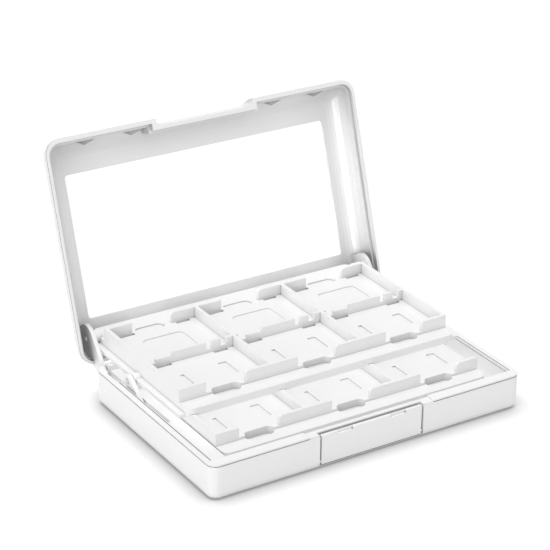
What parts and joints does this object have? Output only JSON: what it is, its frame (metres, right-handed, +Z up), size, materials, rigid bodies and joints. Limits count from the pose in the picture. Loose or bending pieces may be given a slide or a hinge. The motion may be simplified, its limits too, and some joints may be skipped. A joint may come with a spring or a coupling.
{
  "type": "game card display case",
  "caption": "Flat hinged card case with a clear window in its lid and two card trays; the upper tray rises on links as the lid opens.",
  "frame": {"origin": "centre of the base's flat underside", "axes": "+X along the length of the case, +Y from the front latch towards the lid hinge, +Z up"},
  "size_m": [0.1676, 0.1572, 0.1147],
  "materials": {
    "shell": "satin white moulded plastic",
    "tray": "satin white moulded plastic",
    "clear": "clear polished plastic",
    "pin": "smooth white plastic"
  },
  "bodies": {
    "base": {"base_shell": "shell", "lower_tray": "tray", "hinge_pin_left": "pin", "hinge_pin_right": "pin", "link_base_pin_left": "pin", "link_base_pin_right": "pin"},
    "lid": {"lid_shell": "shell", "lid_window": "clear", "tray_lid_pin_left": "pin", "tray_lid_pin_right": "pin"},
    "tray": {"upper_tray": "tray", "link_tray_pin_left": "pin", "link_tray_pin_right": "pin"},
    "link_left": {"link_arm_left": "tray"},
    "link_right": {"link_arm_right": "tray"},
    "latch": {"latch_panel": "shell"}
  },
  "joints": [
    {"name": "lid_hinge", "type": "hinge", "parent": "base", "child": "lid", "pos_m": [0, 0.05565, 0.0129], "axis": [1, 0, 0], "range_deg": [0, 107.7]},
    {"name": "tray_pivot", "type": "hinge", "parent": "lid", "child": "tray", "pos_m": [0, 0.06925, 0.02378], "axis": [1, 0, 0], "range_deg": [-107.7, 0]},
    {"name": "link_left_pivot", "type": "hinge", "parent": "base", "child": "link_left", "pos_m": [-0.077, 0.01565, 0.0089], "axis": [1, 0, 0], "range_deg": [0, 107.7]},
    {"name": "link_right_pivot", "type": "hinge", "parent": "base", "child": "link_right", "pos_m": [0.077, 0.01565, 0.0089], "axis": [1, 0, 0], "range_deg": [0, 107.7]},
    {"name": "latch_press", "type": "hinge", "parent": "base", "child": "latch", "pos_m": [0, -0.0516, 0.0032], "axis": [-1, 0, 0], "range_deg": [0, 3.5], "stiffness_Nm_per_rad": 0.3}
  ],
  "couplings": [
    {"joint": "tray_pivot", "follows": "lid_hinge", "ratio": -1},
    {"joint": "link_left_pivot", "follows": "lid_hinge", "ratio": 1},
    {"joint": "link_right_pivot", "follows": "lid_hinge", "ratio": 1}
  ]
}
